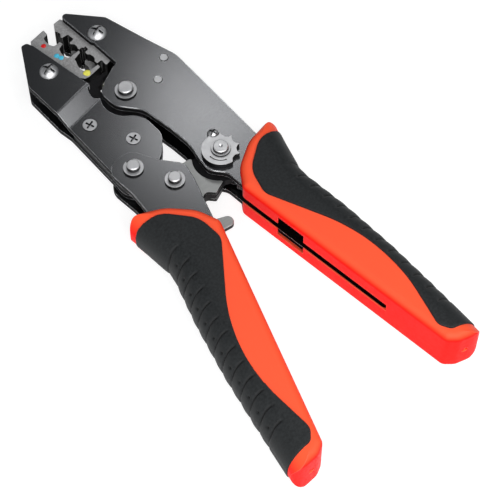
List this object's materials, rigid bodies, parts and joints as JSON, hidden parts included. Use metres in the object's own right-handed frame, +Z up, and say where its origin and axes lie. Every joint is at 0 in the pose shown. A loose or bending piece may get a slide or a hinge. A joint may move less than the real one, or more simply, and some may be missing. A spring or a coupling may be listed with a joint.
{
  "type": "ratchet crimping tool",
  "caption": "Hand crimping tool with parallel steel plates, a pivoting jaw, a pair of comb-shaped dies, a toothed ratchet link and two soft-faced grips",
  "frame": {"origin": "centre of the underside of the tool's box, with the tool lying flat on its grips", "axes": "+Y toward the nose, +X toward the fixed handle, +Z up through the plates toward the star wheel"},
  "size_m": [0.0892, 0.2179, 0.022],
  "materials": {
    "black_oxide_steel": "black oxide, satin",
    "die_steel": "phosphated, satin",
    "bright_nickel": "bright nickel plate",
    "dark_steel": "black oxide, matt",
    "ground_steel": "blanked and tumbled",
    "spring_wire": "drawn wire",
    "hard_orange": "moulded, semi-gloss",
    "soft_black": "soft overmould, matt"
  },
  "bodies": {
    "frame": {"frame_plate_front": "black_oxide_steel", "frame_plate_rear": "black_oxide_steel", "frame_spacer": "dark_steel", "frame_rivets": "bright_nickel", "upper_die": "die_steel", "upper_die_screw": "bright_nickel", "main_pivot_pin": "bright_nickel", "main_pivot_ring": "bright_nickel", "main_pivot_spacers": "dark_steel", "spring_anchor_pin": "bright_nickel", "return_spring": "spring_wire", "frame_tail_spacer": "dark_steel", "frame_tail_rivets": "bright_nickel", "fixed_grip": "hard_orange", "fixed_grip_overmould": "soft_black", "lock_screw": "bright_nickel"},
    "adjuster": {"eccentric_pin": "bright_nickel", "star_wheel": "bright_nickel", "eccentric_pin_ring": "bright_nickel"},
    "jaw": {"jaw_plate_front": "black_oxide_steel", "jaw_plate_rear": "black_oxide_steel", "jaw_core": "dark_steel", "jaw_screws": "bright_nickel", "lower_die": "die_steel", "lower_die_screw": "bright_nickel"},
    "toggle_link": {"link_plate_front": "ground_steel", "link_plate_rear": "ground_steel", "ratchet_sector": "dark_steel", "link_rivet": "bright_nickel", "eccentric_spacers": "dark_steel"},
    "handle": {"handle_plate_front": "black_oxide_steel", "handle_plate_rear": "black_oxide_steel", "jaw_pin": "bright_nickel", "link_pin": "bright_nickel", "link_pin_spacers": "dark_steel", "handle_pin_rings": "bright_nickel", "pawl_pin": "bright_nickel", "pawl_spring": "spring_wire", "handle_tail_spacer": "dark_steel", "handle_tail_rivets": "bright_nickel", "moving_grip": "hard_orange", "moving_grip_overmould": "soft_black"},
    "pawl": {"release_pawl": "ground_steel"}
  },
  "joints": [
    {"name": "link_swing", "type": "hinge", "parent": "frame", "child": "toggle_link", "pos_m": [0.0147, 0.0154, 0.011], "axis": [0, 0, 1], "range_deg": [-9.4, 10.7], "deforming": ["return_spring"]},
    {"name": "handle_squeeze", "type": "hinge", "parent": "toggle_link", "child": "handle", "pos_m": [-0.0075, 0.015, 0.011], "axis": [0, 0, 1], "range_deg": [-24, 21]},
    {"name": "jaw_close", "type": "hinge", "parent": "frame", "child": "jaw", "pos_m": [0.0014, 0.0612, 0.011], "axis": [0, 0, 1], "range_deg": [-4.8, 5.5]},
    {"name": "adjuster_turn", "type": "hinge", "parent": "frame", "child": "adjuster", "pos_m": [0.0143, 0.0154, 0.011], "axis": [0, 0, 1], "range_deg": [-1.5, 1.5]},
    {"name": "pawl_release", "type": "hinge", "parent": "handle", "child": "pawl", "pos_m": [-0.0156, -0.0048, 0.011], "axis": [0, 0, -1], "range_deg": [0, 12], "stiffness_Nm_per_rad": 0.05}
  ],
  "couplings": [
    {"joint": "link_swing", "follows": "handle_squeeze", "ratio": -0.44},
    {"joint": "jaw_close", "follows": "handle_squeeze", "ratio": -0.225}
  ]
}
